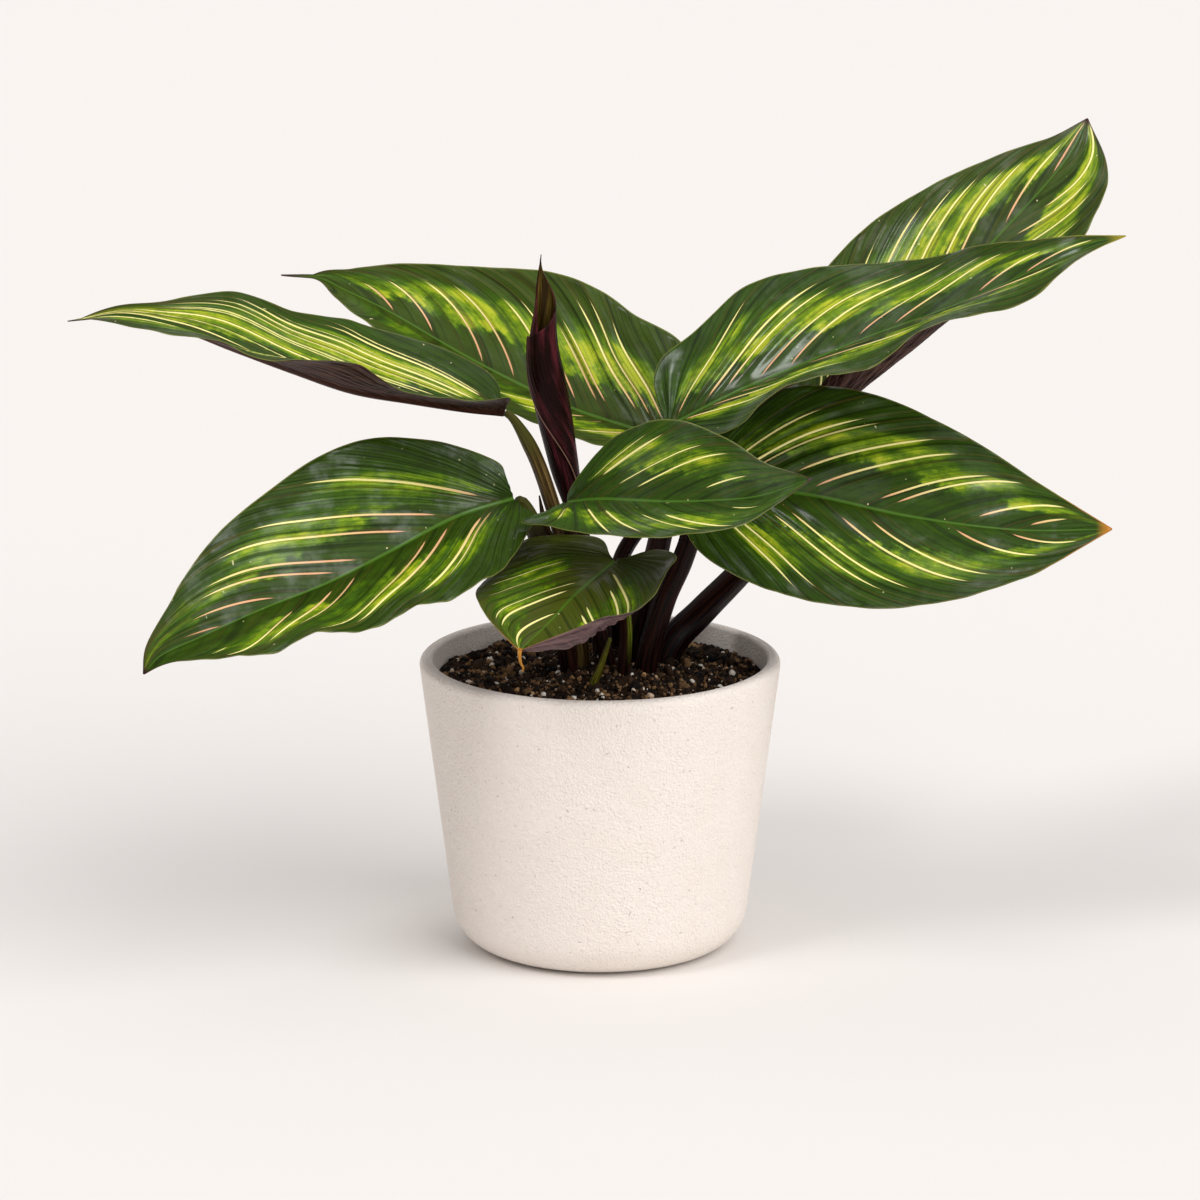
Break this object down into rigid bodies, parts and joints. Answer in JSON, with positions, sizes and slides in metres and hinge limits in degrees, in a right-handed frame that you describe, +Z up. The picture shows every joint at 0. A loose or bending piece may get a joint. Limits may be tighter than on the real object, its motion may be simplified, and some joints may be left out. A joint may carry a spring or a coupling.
{
  "type": "potted prayer plant",
  "caption": "Striped-leaf prayer plant with arching blades on slender stalks and a rolled new leaf, rooted in soil in a round tapered pot with a rounded foot.",
  "frame": {"origin": "middle of the pot's flat foot, on the surface it stands on", "axes": "+Z up; +X to the right along the plant's widest spread, seen from its front; the front faces -Y"},
  "size_m": [0.402, 0.2144, 0.3071],
  "materials": {
    "pot": "matte, finely stippled, off-white",
    "soil": "crumbly dark potting mix with pale grains",
    "leaf": "satin green with cream pin stripes, maroon underneath",
    "stalk": "satin dark maroon",
    "new_leaf": "satin burgundy",
    "shoot": "satin olive green"
  },
  "bodies": {
    "root": {"pot": "pot", "soil": "soil", "leaf_upper_left": "leaf", "leaf_back_left": "leaf", "leaf_right_front": "leaf", "leaf_upper_right": "leaf", "leaf_right_middle": "leaf", "leaf_front_small": "leaf", "leaf_front_low": "leaf", "leaf_lower_left": "leaf", "stalk_upper_left": "stalk", "stalk_back_left": "stalk", "stalk_right_front": "stalk", "stalk_upper_right": "stalk", "stalk_right_middle": "stalk", "stalk_front_small": "stalk", "stalk_front_low": "stalk", "stalk_lower_left": "stalk", "new_leaf": "new_leaf", "shoot": "shoot"}
  },
  "joints": []
}
